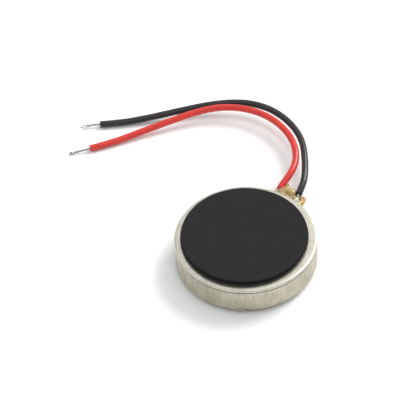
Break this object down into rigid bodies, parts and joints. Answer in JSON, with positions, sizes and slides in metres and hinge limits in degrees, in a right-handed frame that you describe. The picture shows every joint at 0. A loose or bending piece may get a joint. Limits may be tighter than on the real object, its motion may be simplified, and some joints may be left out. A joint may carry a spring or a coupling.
{
  "type": "vibration coin motor",
  "caption": "Flat round vibration motor in a metal can with an eccentric rotor inside, a black foam mounting pad and red and black soldered leads.",
  "frame": {"origin": "centre of the flat base, on the motor's axis", "axes": "+Z along the motor's axis towards the foam pad, +Y along the tab where the leads are soldered"},
  "size_m": [0.0267, 0.0224, 0.0033],
  "materials": {
    "can_steel": "bright nickel-plated drawn steel, faint vertical draw lines",
    "bracket_steel": "nickel-plated stamped steel, satin",
    "shaft_steel": "ground and polished",
    "magnet": "dark plated ring magnet, satin",
    "adhesive": "cured adhesive film",
    "flex_film": "translucent amber polyimide film",
    "trace_copper": "tinned copper trace",
    "brush_alloy": "thin spring alloy",
    "washer_film": "slippery washer film",
    "bush_bronze": "sintered bearing bronze",
    "board": "thin glass-fibre board",
    "commutator_gold": "gold-plated segments",
    "coil_wire": "enamelled copper winding",
    "tungsten": "sintered heavy alloy",
    "moulding": "moulded resin",
    "foam": "closed-cell black foam, dull",
    "foam_tape": "thin double-sided film",
    "red_insulation": "soft extruded insulation",
    "black_insulation": "soft extruded insulation",
    "tinned_wire": "tinned copper strands",
    "solder": "bright solder",
    "glue": "clear amber glue over the joints"
  },
  "bodies": {
    "motor_body": {"case_cup": "can_steel", "bottom_bracket": "bracket_steel", "shaft": "shaft_steel", "ring_magnet": "magnet", "magnet_adhesive": "adhesive", "flex_circuit": "flex_film", "positive_trace": "trace_copper", "negative_trace": "trace_copper", "positive_brush": "brush_alloy", "negative_brush": "brush_alloy", "lower_washer": "washer_film", "upper_washer": "washer_film", "foam_adhesive": "foam_tape", "foam_pad": "foam", "red_lead": "red_insulation", "black_lead": "black_insulation", "red_conductor": "tinned_wire", "black_conductor": "tinned_wire", "red_solder_joint": "solder", "black_solder_joint": "solder", "glue_bead": "glue"},
    "rotor": {"bearing_bush": "bush_bronze", "rotor_board": "board", "commutator": "commutator_gold", "coil_left": "coil_wire", "coil_right": "coil_wire", "counterweight": "tungsten", "rotor_moulding": "moulding"}
  },
  "joints": [
    {"name": "rotor_spin", "type": "hinge", "parent": "motor_body", "child": "rotor", "pos_m": [0, 0, 0.0014], "axis": [0, 0, 1], "continuous": true}
  ]
}
